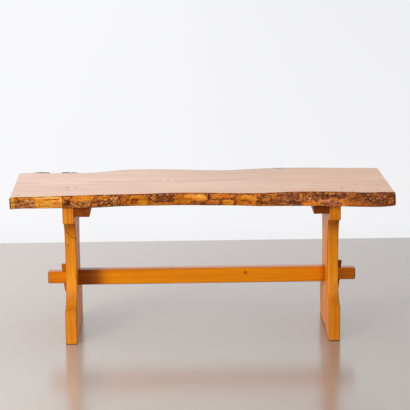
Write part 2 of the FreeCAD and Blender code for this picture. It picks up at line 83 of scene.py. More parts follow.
def new_object(name, data):
    made = bpy.data.objects.new(name, data)
    scene.collection.objects.link(made)
    return made


# Camera: at the photograph's angle

IMAGE_WIDTH = 410
SENSOR_WIDTH = 36
FOCAL_PIXELS = 1700
CAMERA_PLACE = Vector((-0.0575, -4.8687, 1.3839))
CAMERA_PITCH = 0.2053
CAMERA_YAW = 0.0142
CAMERA_ROLL = 0.0107

camera_data = bpy.data.cameras.new("camera")
camera = new_object("camera", camera_data)
camera_data.sensor_width = SENSOR_WIDTH
camera_data.lens = FOCAL_PIXELS * SENSOR_WIDTH / IMAGE_WIDTH
camera_data.clip_end = 100
ahead = math.cos(CAMERA_PITCH)
forward = Vector(
    (math.sin(CAMERA_YAW) * ahead, math.cos(CAMERA_YAW) * ahead, -math.sin(CAMERA_PITCH))
)
level_right = Vector((math.cos(CAMERA_YAW), -math.sin(CAMERA_YAW), 0))
level_up = level_right.cross(forward)
right = math.cos(CAMERA_ROLL) * level_right - math.sin(CAMERA_ROLL) * level_up
up = math.cos(CAMERA_ROLL) * level_up + math.sin(CAMERA_ROLL) * level_right
turned = Matrix((right, up, -forward)).transposed()
camera.matrix_world = Matrix.Translation(CAMERA_PLACE) @ turned.to_4x4()
scene.camera = camera


# Shader nodes

class Shader:
    """The node tree of a material or of the world, with a short call for each kind of node."""

    def __init__(self, owner, output):
        owner.use_nodes = True
        self.owner = owner
        self.tree = owner.node_tree
        self.tree.nodes.clear()
        self.output = self.node(output)

    def put(self, socket, value):
        if isinstance(value, bpy.types.NodeSocket):
            self.tree.links.new(value, socket)
        elif value is not None:
            socket.default_value = value

    def node(self, kind, inputs=(), **settings):
        """A node with its first inputs filled in; None leaves an input as it is."""
        made = self.tree.nodes.new("ShaderNode" + kind)
        for name, value in settings.items():
            setattr(made, name, value)
        for socket, value in zip(made.inputs, inputs):
            self.put(socket, value)
        return made

    def fill(self, made, **inputs):
        """Fills inputs in by name, where a low dash stands for a space."""
        for name, value in inputs.items():
            self.put(made.inputs[name.replace("_", " ")], value)
        return made

    def math(self, operation, first, second=None, third=None):
        return self.node("Math", (first, second, third), operation=operation).outputs[0]

    def scaled(self, value, weight, base=0.0):
        """The value times the weight, plus the base."""
        return self.math("MULTIPLY_ADD", value, weight, base)

    def most(self, first, *others):
        for other in others:
            first = self.math("MAXIMUM", first, other)
        return first

    def vector(self, operation, first, second=None):
        made = self.node("VectorMath", (first, second), operation=operation)
        return made.outputs[1 if operation == "LENGTH" else 0]

    def join(self, x, y, z):
        return self.node("CombineXYZ", (x, y, z)).outputs[0]

    def split(self, vector):
        return self.node("SeparateXYZ", (vector,)).outputs

    def place(self):
        return self.node("TexCoord").outputs["Object"]

    def noise(self, vector, scale, detail=2.0, roughness=0.5):
        made = self.node("TexNoise")
        self.fill(made, Vector=vector, Scale=scale, Detail=detail, Roughness=roughness)
        return made.outputs["Fac"]

    def range(self, value, low, high, to_low=0.0, to_high=1.0, soft=True):
        kind = "SMOOTHSTEP" if soft else "LINEAR"
        inputs = (value, low, high, to_low, to_high)
        return self.node("MapRange", inputs, interpolation_type=kind).outputs[0]

    def lean(self, base, noise, weight):
        """The base, moved by how far a noise lies from its middle."""
        return self.scaled(self.math("SUBTRACT", noise, 0.5), weight, base)

    def near(self, place, centre, reach):
        """How far a place is from a centre, as a share of the reach on each axis."""
        away = self.vector("SUBTRACT", place, centre)
        return self.vector("LENGTH", self.vector("DIVIDE", away, reach))

    def mix(self, share, first, second, way="MIX"):
        inputs = (share, None, None, None, None, None, first, second)
        return self.node("Mix", inputs, data_type="RGBA", blend_type=way).outputs[2]

    def ramp(self, share, stops):
        """Colours along a share, given in the steps of a screen."""
        made = self.node("ValToRGB", (share,))
        elements = made.color_ramp.elements
        while len(elements) < len(stops):
            elements.new(1.0)
        for element, (position, colour) in zip(elements, stops):
            element.position = position
            element.color = srgb(*colour)
        return made.outputs[0]

    def blend(self, share, first, second):
        return self.node("MixShader", (share, first, second)).outputs[0]

    def principled(self, colour, roughness, height, depth, **numbers):
        """The surface itself: plain numbers go straight on the shader's own sockets."""
        bump = self.fill(self.node("Bump"), Strength=1.0, Distance=depth, Height=height)
        surface = self.node("BsdfPrincipled")
        self.fill(surface, Base_Color=colour, Roughness=roughness, Normal=bump.outputs[0])
        return self.fill(surface, **numbers).outputs[0]

    def finish(self, surface):
        self.put(self.output.inputs["Surface"], surface)
        return self.owner


def material_shader(name):
    return Shader(bpy.data.materials.new(name), "OutputMaterial")


# Wood

# the axes of a board, its fibres' own one first
ORDER = {"X": (0, 1, 2), "Y": (1, 0, 2), "Z": (2, 0, 1)}

# a board's noises: waves to the metre along the fibres and across them, detail and roughness
GRAIN_WAVES = {
    "sway": (2.2, 11.0, 2.0, 0.5),
    "bow": (0.9, 3.0, 1.0, 0.5),
    "fibre": (14.0, 900.0, 3.0, 0.65),
    "streak": (3.0, 120.0, 3.0, 0.6),
    "tone": (1.6, 9.0, 3.0, 0.55),
    "pore": (55.0, 1500.0, 1.0, 0.5),
}

# how much each noise moves the colour along its palette
COLOUR_WEIGHTS = (("streak", 0.6), ("tone", 0.84), ("fibre", 0.32))
PORE_DARKNESS = 0.35
KNOT_STRETCH = (0.88, 1.0, 1.0)
KNOT_COLOUR = srgb(128, 40, 0)
MARK_COLOUR = srgb(58, 24, 6)
# colour of the painted shade along the arrises
ARRIS_SHADE_TINT = srgb(150, 104, 60)
COAT_ROUGHNESS = 0.22


def knot_ring(shader, grain, centre, size):
    """How near a place is to a knot, and the mask of the knot's dark ring."""
    away = shader.vector("MULTIPLY", shader.vector("SUBTRACT", grain, centre), KNOT_STRETCH)
    near = shader.vector("LENGTH", away)
    ragged = shader.scaled(shader.noise(grain, 420.0), size * 0.7, near)
    mask = shader.range(ragged, size * 1.55, size * 1.1)
    core = shader.range(ragged, size * 1.0, size * 0.6)
    return near, shader.scaled(core, -0.7, mask)


def wood_parts(shader, along, pith, ring, knots, wander, seed):
    """Grain of a board: rings round a pith line, fine fibres and slow changes of tone.

    along is the axis that the fibres follow; pith gives the pith line's place on the other two.
    """
    sides = shader.split(shader.place())
    length, first, second = [sides[index] for index in ORDER[along]]
    grain = shader.join(length, first, second)
    moved = shader.vector("ADD", grain, (seed, seed * 0.37, seed * 0.71))

    def waves(name):
        lengthwise, across, detail, roughness = GRAIN_WAVES[name]
        stretched = shader.vector("MULTIPLY", moved, (lengthwise, across, across))
        return shader.noise(stretched, 1.0, detail, roughness)

    off = [shader.math("SUBTRACT", side, middle) for side, middle in zip((first, second), pith)]
    radius = shader.vector("LENGTH", shader.join(0.0, *off))
    radius = shader.scaled(waves("sway"), wander, radius)
    radius = shader.scaled(waves("bow"), wander * 2.5, radius)
    knot_rings = []
    for *centre, size in knots:
        near, mask = knot_ring(shader, grain, centre, size)
        bulge = shader.range(near, size * 4.5, 0.0)
        radius = shader.scaled(bulge, size * 1.5, radius)
        knot_rings.append(mask)
    turns = shader.math("DIVIDE", radius, ring)
    within = shader.math("FRACT", turns)
    rise = shader.range(within, 0.25, 0.9)
    late = shader.scaled(rise, shader.range(within, 1.0, 0.93))
    year = shader.join(shader.math("FLOOR", turns), 0.0, seed)
    strength = shader.noise(year, 1.7, 0.0)
    late = shader.scaled(late, shader.range(strength, 0.25, 0.75, 0.45, 1.0))
    parts = {name: waves(name) for name in ("fibre", "streak", "tone")}
    parts["late"] = late
    parts["pores"] = shader.range(waves("pore"), 0.68, 0.76)
    parts["knot"] = shader.most(*knot_rings) if knots else None
    return parts


def wood_colour(shader, parts, palette, ring_share):
    """Colour of the grain: the palette runs from the darkest to the palest of five woods."""
    middle = 0.5 + ring_share * 0.4
    share = shader.scaled(parts["late"], -ring_share, middle)
    for name, weight in COLOUR_WEIGHTS:
        share = shader.lean(share, parts[name], weight)
    last = len(palette) - 1
    colour = shader.ramp(share, [(index / last, tone) for index, tone in enumerate(palette)])
    pores = shader.scaled(parts["pores"], PORE_DARKNESS)
    return shader.mix(pores, colour, srgb(*palette[0]))


def arris_mask(shader, plank):
    """Finds the arrises for painted shade by their slant: a plank's outline curves, so only X counts
    there.
    """
    normal = shader.node("NewGeometry").outputs["True Normal"]
    x, y, z = shader.split(shader.vector("ABSOLUTE", normal))
    if plank:
        outline = shader.range(x, 0.12, 0.3)
        return shader.scaled(shader.range(x, 0.985, 0.93), outline)
    return shader.range(shader.most(x, y, z), 0.985, 0.93)


def wood(name, along, pith, ring, palette, knots=(), seed=0.0, roughness=0.46, coat=0.05,
         coat_ior=1.5, gloss=0.25, wander=0.012, relief=0.00022, rings=0.34, painted_light_and_tints=(), marks=(),
         crack=None, arris_shade=0.0):
    """The material of a board.

    Each tint is a soft multiply with its centre and its reach, most of them painted light and shade;
    a mark is a dark spot with its centre and its reach. crack gives the mask of a drawn line, on the
    trestles also the painted contact shade at the foot, and the arris number says how much darker
    the arrises are painted, a painted shade along their rounded rims.
    """
    shader = material_shader(name)
    parts = wood_parts(shader, along, pith, ring, knots, wander, seed)
    colour = wood_colour(shader, parts, palette, rings)
    place = shader.place()
    # painted light and shade, with a few plain tints, multiplied in at their places
    for centre, reach, tint, amount in painted_light_and_tints:
        mask = shader.range(shader.near(place, centre, reach), 1.0, 0.0)
        mask = shader.scaled(mask, amount)
        colour = shader.mix(mask, colour, srgb(*tint), "MULTIPLY")
    # painted shade along the arrises
    if arris_shade:
        arris_shade_mask = shader.scaled(arris_mask(shader, along == "Z"), arris_shade)
        colour = shader.mix(arris_shade_mask, colour, ARRIS_SHADE_TINT, "MULTIPLY")
    if parts["knot"] is not None:
        colour = shader.mix(shader.scaled(parts["knot"], 0.9), colour, KNOT_COLOUR)
    height = shader.scaled(parts["fibre"], 0.55)
    height = shader.scaled(parts["late"], 0.3, height)
    height = shader.scaled(parts["pores"], -0.5, height)
    darks = [crack(shader, place)] if crack else []
    grit = shader.scaled(shader.noise(place, 900.0, 1.0), 0.8)
    for centre, reach in marks:
        near = shader.math("ADD", grit, shader.near(place, centre, reach))
        darks.append(shader.range(near, 1.5, 0.9))
    if darks:
        dark = shader.most(*darks)
        colour = shader.mix(shader.scaled(dark, 0.86), colour, MARK_COLOUR)
        height = shader.scaled(dark, -1.5, height)
    rough = shader.scaled(parts["streak"], 0.16, roughness - 0.08)
    rough = shader.scaled(parts["pores"], 0.2, rough)
    surface = shader.principled(
        colour, rough, height, relief, Specular_IOR_Level=gloss, Coat_Weight=coat,
        Coat_IOR=coat_ior, Coat_Roughness=COAT_ROUGHNESS,
    )
    return shader.finish(surface)


SLAB_PALETTE = ((168, 112, 80), (202, 150, 114), (218, 171, 139), (229, 188, 158), (238, 205, 181))
TRESTLE_PALETTE = ((160, 80, 0), (202, 111, 0), (227, 136, 4), (241, 154, 18), (250, 175, 48))
RAIL_PALETTE = ((176, 89, 0), (212, 117, 0), (231, 134, 0), (241, 148, 4), (248, 165, 26))
# painted shade: the battens' palette is darkened for the shadow of the seat over them
BATTEN_SHADED_PALETTE = ((62, 20, 0), (90, 36, 0), (116, 52, 4), (142, 70, 12), (164, 92, 28))
WEDGE_PALETTE = ((106, 54, 0), (140, 74, 0), (164, 92, 4), (186, 112, 16), (204, 134, 36))


# small dark marks on the seat, pin knots and worm holes: place on its top and size in millimetres
SEAT_TOP = cad_high.z
SEAT_MARKS = [
    (508, -74, 3.4), (470, -148, 2.6), (489, -157, 2.2), (502, -147, 3.6), (428, -162, 3.8),
    (442, -71, 2.4), (472, -83, 1.9), (259, -56, 2.8), (342, -46, 2.3), (357, -139, 2.2),
    (-519, -162, 3.0), (-386, -58, 4.2), (-358, -63, 3.0), (-379, -88, 2.4), (-96, 20, 3.6),
    (-18, 51, 3.2), (-223, 172, 2.6), (226, -93, 2.0), (517, -106, 1.8),
]
BARK_SPOT = ((0.2385, 0.2090, SEAT_TOP), (0.026, 0.020, 0.006))


# the hairline: its place, how far it leans, and the half widths where it fades and where it is full
HAIRLINE_X = 0.4005
HAIRLINE_Y = -0.105
HAIRLINE_LEAN = 0.10
HAIRLINE_FADE = 0.0011
HAIRLINE_FULL = 0.0004


def seat_mark(x, y, size):
    """Centre and reach of one small mark, in metres."""
    return (x / 1000, y / 1000, SEAT_TOP), (size * 0.0017, size * 0.0014, 0.004)


def seat_hairline(shader, place):
    """A thin check that runs across the seat near its right front corner."""
    x, y, z = shader.split(place)
    wobble = shader.noise(shader.join(0.0, y, 0.0), 60.0)
    from_middle = shader.math("SUBTRACT", y, HAIRLINE_Y)
    line = shader.scaled(from_middle, HAIRLINE_LEAN, HAIRLINE_X)
    line = shader.scaled(wobble, 0.004, line)
    off = shader.math("ABSOLUTE", shader.math("SUBTRACT", x, line))
    mask = shader.range(off, HAIRLINE_FADE, HAIRLINE_FULL)
    mask = shader.scaled(mask, shader.range(y, -0.075, -0.1))
    mask = shader.scaled(mask, shader.range(y, -0.21, -0.18))
    return shader.scaled(mask, 0.7)


seat_wood = wood(
    "seat_wood", "X", (0.02, SEAT_TOP - 0.15), 0.0062, SLAB_PALETTE,
    knots=[(-0.386, -0.058, SEAT_TOP, 0.0045), (-0.096, 0.020, SEAT_TOP, 0.0042)],
    seed=3.1, roughness=0.36, coat=0.45, gloss=0.4, wander=0.02, relief=0.00016,
    painted_light_and_tints=[
        # painted falloff of the light from the left: the seat's right is tinted darker and yellower
        ((0.62, 0.05, SEAT_TOP), (0.95, 0.9, 0.5), (226, 203, 160), 1.0),
        # the strip along the back edge is tinted a little darker
        ((0.05, 0.19, SEAT_TOP), (0.6, 0.16, 0.5), (240, 228, 212), 0.8),
    ],
    marks=[seat_mark(*mark) for mark in SEAT_MARKS] + [BARK_SPOT],
    crack=seat_hairline,
)


# the check in the left trestle: where it starts and ends, how low its end is and how far it drops
CHECK_START = -0.386
CHECK_END = -0.358
CHECK_LOW = 0.2945
CHECK_DROP = 0.022


def foot_contact_shade(shader, place):
    """A painted contact shadow: a dark line round the foot of a trestle."""
    z = shader.split(place)[2]
    ragged = shader.scaled(shader.noise(place, 260.0), 0.0024, z)
    return shader.range(ragged, 0.0044, 0.0026)


def trestle_crack(shader, place):
    """A curved check across the front of the left trestle's waist, and painted contact shade at its
    foot.
    """
    x, y, z = shader.split(place)
    along = shader.range(x, CHECK_START, CHECK_END, soft=False)
    fall = shader.math("POWER", shader.math("SUBTRACT", 1.0, along), 2.0)
    line = shader.scaled(fall, CHECK_DROP, CHECK_LOW)
    line = shader.scaled(shader.noise(place, 180.0), 0.003, line)
    off = shader.math("ABSOLUTE", shader.math("SUBTRACT", z, line))
    check = shader.range(off, 0.0016, 0.0005)
    check = shader.scaled(check, shader.range(y, -0.06, -0.075))
    check = shader.scaled(check, shader.range(x, -0.3885, -0.3865))
    return shader.most(check, foot_contact_shade(shader, place))


left_trestle_wood = wood(
    "left_trestle_wood", "Z", (-0.30, -0.02), 0.0055, TRESTLE_PALETTE,
    knots=[(0.105, -0.372, -0.118, 0.0050)],
    seed=7.7, wander=0.015, rings=0.16, arris_shade=0.7,
    marks=[((-0.3855, -0.1, 0.276), (0.0022, 0.01, 0.003))],
    crack=trestle_crack, painted_light_and_tints=[
        # painted shade under the head, and on the head, lower hollow and foot; the waist is left lit
        ((-0.378, -0.14, 0.33), (0.08, 0.1, 0.045), (212, 190, 150), 0.9),
        ((-0.378, -0.16, 0.39), (0.08, 0.1, 0.04), (238, 226, 200), 0.8),
        ((-0.378, -0.15, 0.122), (0.08, 0.1, 0.05), (218, 208, 200), 0.9),
        ((-0.378, -0.15, 0.04), (0.08, 0.1, 0.12), (236, 228, 200), 0.8),
    ],
)
right_trestle_wood = wood(
    "right_trestle_wood", "Z", (0.30, 0.01), 0.0058, TRESTLE_PALETTE, seed=12.4, wander=0.015,
    rings=0.16, arris_shade=0.7, crack=foot_contact_shade, painted_light_and_tints=[
        # painted light: the inner face, lit from the left, tinted paler
        ((0.362, -0.02, 0.20), (0.010, 0.5, 0.5), (285, 283, 240), 1.0),
        # painted light on the head
        ((0.39, -0.15, 0.39), (0.05, 0.1, 0.04), (272, 268, 230), 0.9),
        # painted shade under the head
        ((0.39, -0.14, 0.33), (0.05, 0.1, 0.05), (196, 172, 130), 1.0),
        # painted shade on the lower hollow and the foot
        ((0.39, -0.15, 0.128), (0.05, 0.1, 0.05), (216, 204, 200), 1.0),
        ((0.39, -0.15, 0.05), (0.06, 0.1, 0.13), (222, 206, 170), 1.0),
    ],
)
rail_wood = wood(
    "rail_wood", "X", (0.04, 0.26), 0.0050, RAIL_PALETTE,
    knots=[(0.128, -0.021, 0.170, 0.0048)], seed=18.2, wander=0.010, rings=0.18,
    coat=1.0, coat_ior=1.25, gloss=0.04, arris_shade=0.75,
    painted_light_and_tints=[
        # painted shadow of the left trestle over the rail's left part
        ((-0.338, -0.02, 0.16), (0.078, 0.2, 0.2), (182, 158, 90), 1.5),
        # the left tenon tinted a deeper orange
        ((-0.44, -0.02, 0.16), (0.06, 0.2, 0.2), (226, 220, 170), 1.0),
        # painted shade beside the right trestle
        ((0.362, -0.02, 0.16), (0.020, 0.2, 0.2), (200, 184, 170), 1.0),
        # painted shade along the bottom arrises of the rail and of both tenons
        ((0.0, -0.021, 0.1400), (3.0, 0.004, 0.0026), (120, 92, 60), 1.0),
        ((-0.43, -0.019, 0.1450), (0.3, 0.004, 0.0026), (120, 92, 60), 1.0),
        ((0.43, -0.019, 0.1450), (0.3, 0.004, 0.0026), (120, 92, 60), 1.0),
    ],
)
batten_wood = wood(
    "batten_wood", "Y", (0.36, 0.33), 0.0046, BATTEN_SHADED_PALETTE, seed=23.9, roughness=0.5, gloss=0.1,
)
wedge_wood = wood(
    "wedge_wood", "Z", (0.44, 0.03), 0.0034, WEDGE_PALETTE, seed=29.3, roughness=0.48, gloss=0.1,
)


# Bark and steel

# colours of the bark edge and of the screws, each at its share of the way
ORANGE_WOOD = (
    (0.0, (138, 66, 4)), (0.3, (182, 98, 8)), (0.55, (214, 128, 20)), (0.8, (234, 152, 40)),
    (1.0, (248, 186, 92)),
)
BROWN_BARK = (
    (0.0, (98, 46, 8)), (0.25, (140, 76, 18)), (0.5, (178, 108, 38)), (0.75, (210, 144, 72)),
    (1.0, (240, 192, 136)),
)
ROSY_TINT = srgb(232, 170, 190)
ROSY_BLOOM = srgb(226, 150, 130)
CRACK_COLOUR = srgb(54, 20, 0)
DULL_STEEL = ((0.3, (150, 142, 118)), (0.55, (188, 184, 168)), (0.8, (206, 206, 200)))


def bark_material():
    """The bark edge: bare orange wood between patches of cracked brown bark.

    The mesh carries the masks: how bare the wood is, how dark a crack is, a patch's tone, and how
    far its colour leans to red.
    """
    shader = material_shader("bark_edge")
    masks = shader.node("Attribute", attribute_name="bark").outputs["Vector"]
    bare, crack, tone = shader.split(masks)
    leaning = shader.node("Attribute", attribute_name="bark_red").outputs["Fac"]
    place = shader.place()
    grain = shader.noise(shader.vector("MULTIPLY", place, (30.0, 260.0, 260.0)), 1.0, 4.0, 0.6)
    crumb = shader.noise(place, 150.0, 5.0, 0.75)
    fine = shader.noise(place, 900.0, 3.0, 0.6)
    orange = shader.ramp(shader.lean(shader.lean(tone, grain, 1.0), crumb, 1.1), ORANGE_WOOD)
    dull = shader.scaled(tone, 0.7, 0.2)
    brown = shader.ramp(shader.lean(shader.lean(dull, crumb, 2.6), fine, 0.9), BROWN_BARK)
    ragged = shader.lean(bare, crumb, 0.9)
    colour = shader.mix(shader.range(ragged, 0.35, 0.65), brown, orange)
    rosy = shader.mix(1.0, colour, ROSY_TINT, "MULTIPLY")
    rosy = shader.mix(0.12, rosy, ROSY_BLOOM)
    colour = shader.mix(shader.scaled(leaning, 0.75), colour, rosy)
    gap = shader.range(shader.lean(crack, fine, 0.5), 0.2, 0.95, 0.0, 0.9)
    colour = shader.mix(gap, colour, CRACK_COLOUR)
    height = shader.scaled(fine, 0.3, shader.scaled(crumb, 0.7))
    rough = shader.scaled(bare, -0.14, 0.56)
    surface = shader.principled(
        colour, rough, height, 0.0012, Specular_IOR_Level=0.12, Coat_Weight=0.04,
        Coat_Roughness=0.2,
    )
    return shader.finish(surface)


def steel_material():
    shader = material_shader("zinc_steel")
    place = shader.place()
    cloud = shader.noise(place, 160.0, 3.0)
    fine = shader.noise(place, 1800.0)
    rough = shader.scaled(cloud, 0.25, 0.22)
    colour = shader.ramp(cloud, DULL_STEEL)
    return shader.finish(shader.principled(colour, rough, fine, 0.00005, Metallic=1.0))


bark_edge = bark_material()
zinc_steel = steel_material()


# Meshes

# angles of a flat face, of an arris to round and of a crease in the shading, and the cosine of the
# widest angle over which a face lends its normal
FLAT = math.radians(0.6)
SHARP = math.radians(24)
CREASE = math.radians(38)
SEAT_CREASE = math.radians(50)
LENT = math.cos(math.radians(50))

# steps round an arris and a tenon's end, how far round the latter goes, and the least length
ROUND_SEGMENTS = 3
TENON_STEPS = 5
TENON_FULLNESS = 0.98
TINY = 2e-6


def pairs(loop):
    """Each point of a closed loop with the one after it."""
    return list(zip(loop, loop[1:] + loop[:1]))


def add_piece(name, mesh, nodes, materials, body="bench"):
    piece = new_object(name, mesh)
    for material in materials:
        mesh.materials.append(material)
    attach(piece, body)
    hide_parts(*nodes)


def cad_mesh(node):
    """The CAD node as one welded mesh in the frame's own places."""
    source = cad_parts[node]
    mesh = bmesh.new()
    mesh.from_mesh(source.data)
    mesh.transform(source.matrix_world)
    bmesh.ops.remove_doubles(mesh, verts=mesh.verts, dist=TINY)
    return mesh


def finished(mesh, name):
    made = bpy.data.meshes.new(name)
    mesh.to_mesh(made)
    mesh.free()
    return made


def shade(mesh):
    """Smooth shading in which a flat face stays flat and lends its normal to its arrises."""
    around = [[] for vertex in mesh.vertices]
    for face in mesh.polygons:
        face.use_smooth = True
        for vertex in face.vertices:
            around[vertex].append((face.normal.copy(), face.area))
    mesh.set_sharp_from_angle(angle=CREASE)
    normals = []
    for face in mesh.polygons:
        for vertex in face.vertices:
            near = [way * area for way, area in around[vertex] if way.dot(face.normal) > LENT]
            normals.append(sum(near, Vector()).normalized())
    mesh.normals_split_custom_set(normals)


def round_tenon(mesh, side, reach):
    """Ease a tenon's end: its four sides curve in over the last few millimetres."""
    end = max(side * vertex.co.x for vertex in mesh.verts)
    start = end - reach
    for step in range(1, TENON_STEPS):
        place = side * (start + reach * math.sin(math.pi / 2 * step / TENON_STEPS))
        everything = mesh.verts[:] + mesh.edges[:] + mesh.faces[:]
        bmesh.ops.bisect_plane(mesh, geom=everything, plane_co=(place, 0, 0), plane_no=X_AXIS)
    tip = [vertex for vertex in mesh.verts if side * vertex.co.x > start]
    for axis in (1, 2):
        low = min(vertex.co[axis] for vertex in tip)
        high = max(vertex.co[axis] for vertex in tip)
        middle = (low + high) / 2
        for vertex in tip:
            share = min(1.0, (side * vertex.co.x - start) / reach)
            inset = reach * (1 - math.sqrt(1 - (share * TENON_FULLNESS) ** 2))
            vertex.co[axis] = middle + (vertex.co[axis] - middle) * (1 - inset * 2 / (high - low))


def softened(node, rounding, name, material, tenons=(), body="bench"):
    """A CAD piece with its sharp arrises rubbed round, as a hand-finished board has them."""
    width, shortest = rounding
    mesh = cad_mesh(node)
    bmesh.ops.dissolve_limit(mesh, angle_limit=FLAT, verts=mesh.verts, edges=mesh.edges)
    ends = [side * max(side * vertex.co.x for vertex in mesh.verts) for side, reach in tenons]
    sharp = []
    for edge in mesh.edges:
        if len(edge.link_faces) != 2 or edge.calc_face_angle(0.0) < SHARP:
            continue
        first, second = (vertex.co.x for vertex in edge.verts)
        if any(max(abs(first - end), abs(second - end)) < TINY for end in ends):
            continue
        if edge.calc_length() > shortest:
            sharp.append(edge)
    bmesh.ops.bevel(
        mesh, geom=sharp, offset=width, offset_type="OFFSET", segments=ROUND_SEGMENTS,
        profile=0.5, affect="EDGES", clamp_overlap=False,
    )
    for side, reach in tenons:
        round_tenon(mesh, side, reach)
    bmesh.ops.dissolve_degenerate(mesh, dist=TINY, edges=mesh.edges)
    bmesh.ops.triangulate(mesh, faces=[face for face in mesh.faces if len(face.verts) > 4])
    made = finished(mesh, name)
    shade(made)
    add_piece(name, made, [node], [material], body)


# The seat: its bark edges are modelled, over the CAD plank's own outline

# patches of the front edge, from the ground ones to those that lie over them: middle along the seat
# in millimetres and in percent of the edge's height, half sizes likewise, and how bare, how pale and
# how red each is and how dark its rim is, in percent
FRONT_PATCHES = (
    (490, 60, 62, 62, 42, 12, 20, 0), (-533, 52, 10, 65, 98, 100, 25, 0),
    (-495, 35, 29, 50, 14, 94, 50, 0), (-489, 96, 28, 19, 75, 84, 25, 0),
    (-430, 46, 42, 65, 97, 100, 10, 0), (-406, 27, 13, 30, 90, 92, 65, 0),
    (-422, 75, 22, 5, 70, 35, 30, 0), (-337, 21, 31, 38, 14, 68, 25, 0),
    (-334, 84, 31, 25, 85, 62, 5, 0), (-263, 47, 38, 64, 14, 60, 35, 0),
    (-273, 76, 20, 15, 60, 50, 25, 0), (-212, 29, 13, 26, 60, 50, 25, 0),
    (-181, 36, 27, 55, 97, 72, 5, 0), (-190, 42, 13, 20, 60, 35, 35, 0),
    (-153, 88, 10, 15, 30, 98, 75, 30), (-110, 67, 37, 40, 6, 30, 45, 0),
    (-129, 62, 11, 24, 45, 40, 15, 0), (-112, 9, 39, 17, 80, 72, 60, 0),
    (-96, 97, 4, 13, 20, 100, 70, 0), (-53, 47, 25, 44, 90, 55, 5, 0),
    (-35, 69, 15, 13, 97, 85, 5, 0), (-7, 62, 22, 25, 98, 80, 10, 80),
    (-6, 17, 22, 19, 15, 55, 35, 0), (21, 70, 4, 28, 10, 15, 20, 0),
    (33, 26, 18, 20, 95, 70, 55, 50), (58, 76, 35, 20, 70, 55, 30, 40),
    (74, 28, 17, 23, 98, 82, 5, 80), (126, 44, 30, 44, 96, 68, 15, 30),
    (124, 41, 17, 12, 70, 42, 25, 0), (125, 10, 30, 14, 80, 80, 60, 0),
    (178, 52, 20, 35, 12, 30, 30, 70), (180, 52, 11, 15, 80, 50, 20, 20),
    (183, 6, 20, 12, 70, 60, 30, 0), (242, 45, 41, 56, 8, 46, 50, 0),
    (233, 61, 20, 12, 35, 62, 40, 0), (263, 25, 21, 17, 5, 20, 30, 20),
    (308, 18, 24, 18, 75, 55, 20, 0), (299, 64, 15, 24, 8, 50, 50, 0),
    (336, 69, 27, 28, 4, 30, 25, 0), (365, 23, 34, 26, 12, 75, 70, 0),
    (391, 77, 28, 23, 6, 16, 40, 0), (403, 30, 13, 19, 85, 40, 5, 0),
    (443, 25, 30, 12, 90, 34, 5, 30), (429, 59, 24, 16, 50, 20, 5, 0),
    (465, 70, 15, 32, 5, 6, 30, 0), (499, 47, 21, 46, 7, 16, 40, 0), (472, 6, 42, 9, 60, 12, 20, 0),
    (528, 40, 9, 31, 35, 55, 60, 80),
)
PATCH_UNITS = (1000, 100, 1000, 100, 100, 100, 100, 100)

# cracks that can be told apart on the front edge: both ends, each in millimetres along the seat and
# percent of the edge's height, and width in millimetres
FRONT_CRACKS = (
    (-304, 74, -308, 39, 1.6), (-308, 39, -314, -2, 1.9), (-320, 2, -337, -5, 1.3),
    (-298, 5, -275, 23, 1.5), (-275, 22, -250, 36, 1.4), (-233, 83, -229, 39, 2.2),
    (-229, 39, -233, 0, 1.8), (-270, 73, -253, 85, 1.1), (-287, 54, -275, 65, 1.1),
    (-207, 63, -200, 18, 1.1), (-166, 81, -157, 54, 1.5), (-145, 93, -149, 31, 1.2),
    (-124, 91, -118, 37, 1.2), (-87, 96, -80, 34, 1.3), (-53, 101, -52, 81, 1.6),
    (52, 48, 53, 6, 2.6), (-6, 0, 51, 5, 1.5), (21, 81, 20, 47, 2.0), (56, 47, 90, 56, 1.2),
    (25, 51, 51, 49, 1.1), (94, 72, 96, 3, 1.3), (157, 85, 156, 2, 1.6), (198, 71, 198, 15, 2.0),
    (160, 57, 169, 81, 1.1), (169, 81, 191, 78, 1.1), (247, 52, 281, 20, 1.5),
    (287, 81, 306, 66, 1.2), (312, 73, 334, 62, 1.6), (334, 62, 360, 74, 1.6),
    (363, 72, 405, 70, 1.4), (416, 49, 447, 72, 1.2), (399, 12, 433, 8, 1.2),
    (450, 41, 475, 72, 1.5), (461, 86, 475, 27, 1.5), (518, 14, 523, 60, 1.5),
    (523, 60, 531, 72, 1.5), (320, 37, 337, 27, 1.2), (337, 27, 349, 7, 1.3),
    (-392, 90, -391, 4, 1.4), (-523, 90, -524, 13, 1.2), (-512, 55, -492, 32, 1.1),
    (-492, 37, -472, 48, 1.1), (-365, 53, -349, 26, 1.3), (-343, 68, -332, 33, 1.2),
)
EDGE_HEIGHT = 0.037

# the knot hole in the front edge: where it is, and how far it and the ring round it reach
KNOT_HOLE = (-0.377, 0.42)
HOLE_REACH = (0.0035, 0.0090)
HALO_REACH = (0.009, 0.015)

# plates of cracked bark: their length and height in metres, and what is added to the seed
PLATES = (0.017, 0.0080, 0)
SMALL_PLATES = (0.0075, 0.0042, 3)
LONG_PLATES = (0.052, 0.0095, 7)


def wave(x, up, x_waves, up_waves, seed):
    """Smooth noise over the edge: waves to the metre along the seat and up the edge."""
    return noise.noise(Vector((x * x_waves, up * up_waves, seed)))


def near_segment(x, height, start, end):
    """Distance in metres from a point on the edge to a crack's line."""
    point = Vector((x, height))
    first = Vector((start[0], start[1] * EDGE_HEIGHT))
    second = Vector((end[0], end[1] * EDGE_HEIGHT))
    run = second - first
    along = max(0.0, min(1.0, (point - first).dot(run) / run.length_squared))
    return (first + run * along - point).length


